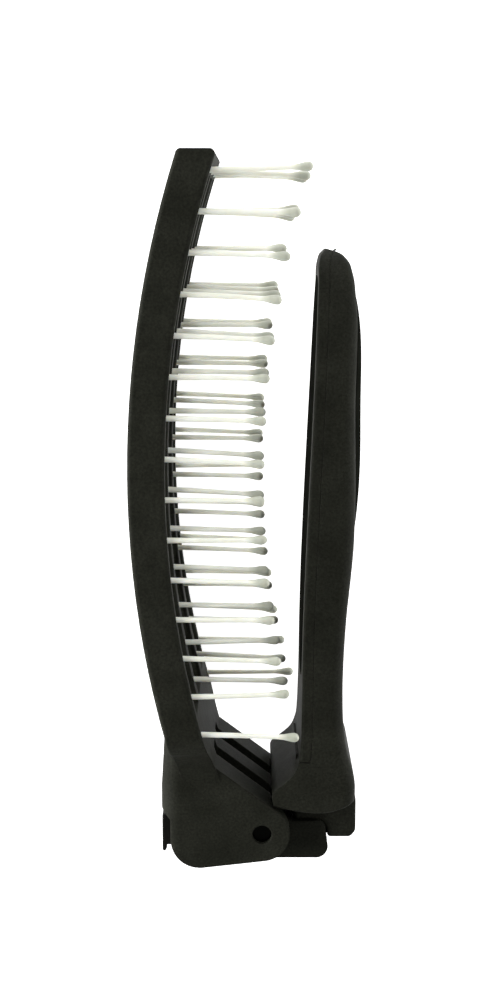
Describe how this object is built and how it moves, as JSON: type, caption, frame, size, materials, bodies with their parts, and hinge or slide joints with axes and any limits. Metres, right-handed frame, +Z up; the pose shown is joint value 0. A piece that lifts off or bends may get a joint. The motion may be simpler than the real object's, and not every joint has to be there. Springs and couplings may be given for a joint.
{
  "type": "folding vent brush",
  "caption": "Folding pocket hair brush: curved open-ribbed head with ball-tipped nylon pins, handle with inset grip pad that swings on a hinge pin, spring release button",
  "frame": {"origin": "Centre of the bounding box's footprint, on the plane the folded brush lies on.", "axes": "Z is up and is the direction of the hinge axis and of the brush's width; Y runs along the brush from the hinge end to the head's free end; X runs from the head to the handle, the way the pins point."},
  "size_m": [0.0404, 0.1246, 0.0432],
  "materials": {
    "black_plastic": "fine spark-eroded grain, warm black",
    "handle_plastic": "fine spark-eroded grain, warm black",
    "button_plastic": "smooth satin black",
    "pin_nylon": "translucent ivory nylon, satin",
    "pad_rubber": "soft matte black",
    "steel": "plain turned steel",
    "spring_steel": "drawn wire"
  },
  "bodies": {
    "head": {"head_frame": "black_plastic", "pins_outer_near": "pin_nylon", "rib_cap_outer_near": "black_plastic", "pins_inner_near": "pin_nylon", "rib_cap_inner_near": "black_plastic", "pins_inner_far": "pin_nylon", "rib_cap_inner_far": "black_plastic", "pins_outer_far": "pin_nylon", "rib_cap_outer_far": "black_plastic", "hinge_pin": "steel", "button_springs": "spring_steel"},
    "handle": {"handle_shell": "handle_plastic", "handle_cover": "handle_plastic", "grip_pad": "pad_rubber", "hinge_block": "handle_plastic", "block_screws": "steel", "inner_liner": "pad_rubber"},
    "button": {"release_button": "button_plastic"}
  },
  "joints": [
    {"name": "handle_fold", "type": "hinge", "parent": "head", "child": "handle", "pos_m": [0.00245, -0.05617, 0.0216], "axis": [0, 0, -1], "range_deg": [0, 162]},
    {"name": "button_press", "type": "slide", "parent": "head", "child": "button", "axis": [1, 0, 0], "range_m": [0, 0.0008], "stiffness_N_per_m": 600, "springref_m": -0.001, "deforming": ["button_springs"]}
  ]
}
